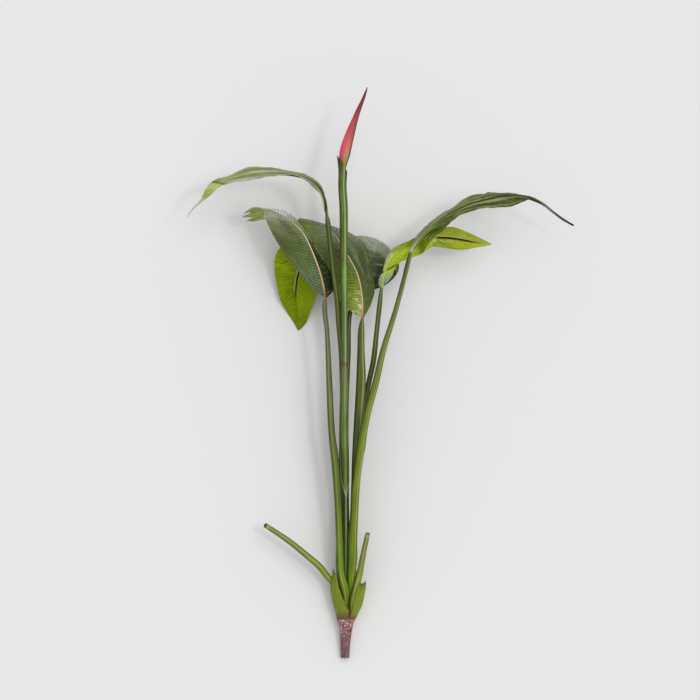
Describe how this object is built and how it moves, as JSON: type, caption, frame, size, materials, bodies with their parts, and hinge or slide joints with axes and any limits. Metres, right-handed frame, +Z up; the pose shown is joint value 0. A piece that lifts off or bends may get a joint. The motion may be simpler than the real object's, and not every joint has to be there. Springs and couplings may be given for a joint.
{
  "type": "bird of paradise flower stem",
  "caption": "Cut flower stem lying flat: leathery stalked leaves and a closed pink bud on a sheathed stalk, all clasped by sheaths above a short woody stub.",
  "frame": {"origin": "middle of the bounding box in X and Y, on the surface that the stem lies on", "axes": "+Y runs along the stem from its cut end to the bud's tip, +X is its right side seen from above, +Z is up"},
  "size_m": [0.6772, 1.0002, 0.1472],
  "materials": {
    "leaf_top_left": "satin leaf skin, pale grey-green with lime streaks towards the tip",
    "leaf_front_left": "satin leaf skin, dark green with close parallel side veins and a tan midrib",
    "leaf_back_left": "satin leaf skin, bright lime green with fine side veins",
    "leaf_front_centre": "satin leaf skin, dark green to mid green with a tan midrib",
    "leaf_back_right": "glossy leaf skin, grey-green",
    "leaf_right": "satin leaf skin, lime green with pale streaks",
    "leaf_top_right": "satin leaf skin, olive green with a pale midrib foot",
    "outer_sheath": "satin green sheath, brownish red at its seams",
    "flower_sheath_lower": "satin green sheath with a pale mouth",
    "flower_sheath_upper": "satin green sheath with a thin brownish rim",
    "flower_stalk": "smooth satin green stalk",
    "flower_bud": "satin bract, pink to crimson with a green base",
    "cut_stalk": "smooth satin green stalk with a dark hollow cut end",
    "base_stub": "matt pinkish brown stub"
  },
  "bodies": {
    "root": {"leaf_top_left": "leaf_top_left", "leaf_front_left": "leaf_front_left", "leaf_back_left": "leaf_back_left", "leaf_front_centre": "leaf_front_centre", "leaf_back_right": "leaf_back_right", "leaf_right": "leaf_right", "leaf_top_right": "leaf_top_right", "outer_sheath_left": "outer_sheath", "outer_sheath_right": "outer_sheath", "flower_sheath_lower": "flower_sheath_lower", "flower_sheath_upper": "flower_sheath_upper", "flower_stalk": "flower_stalk", "flower_bud": "flower_bud", "cut_stalk_left": "cut_stalk", "cut_stalk_right": "cut_stalk", "base_stub": "base_stub"}
  },
  "joints": []
}
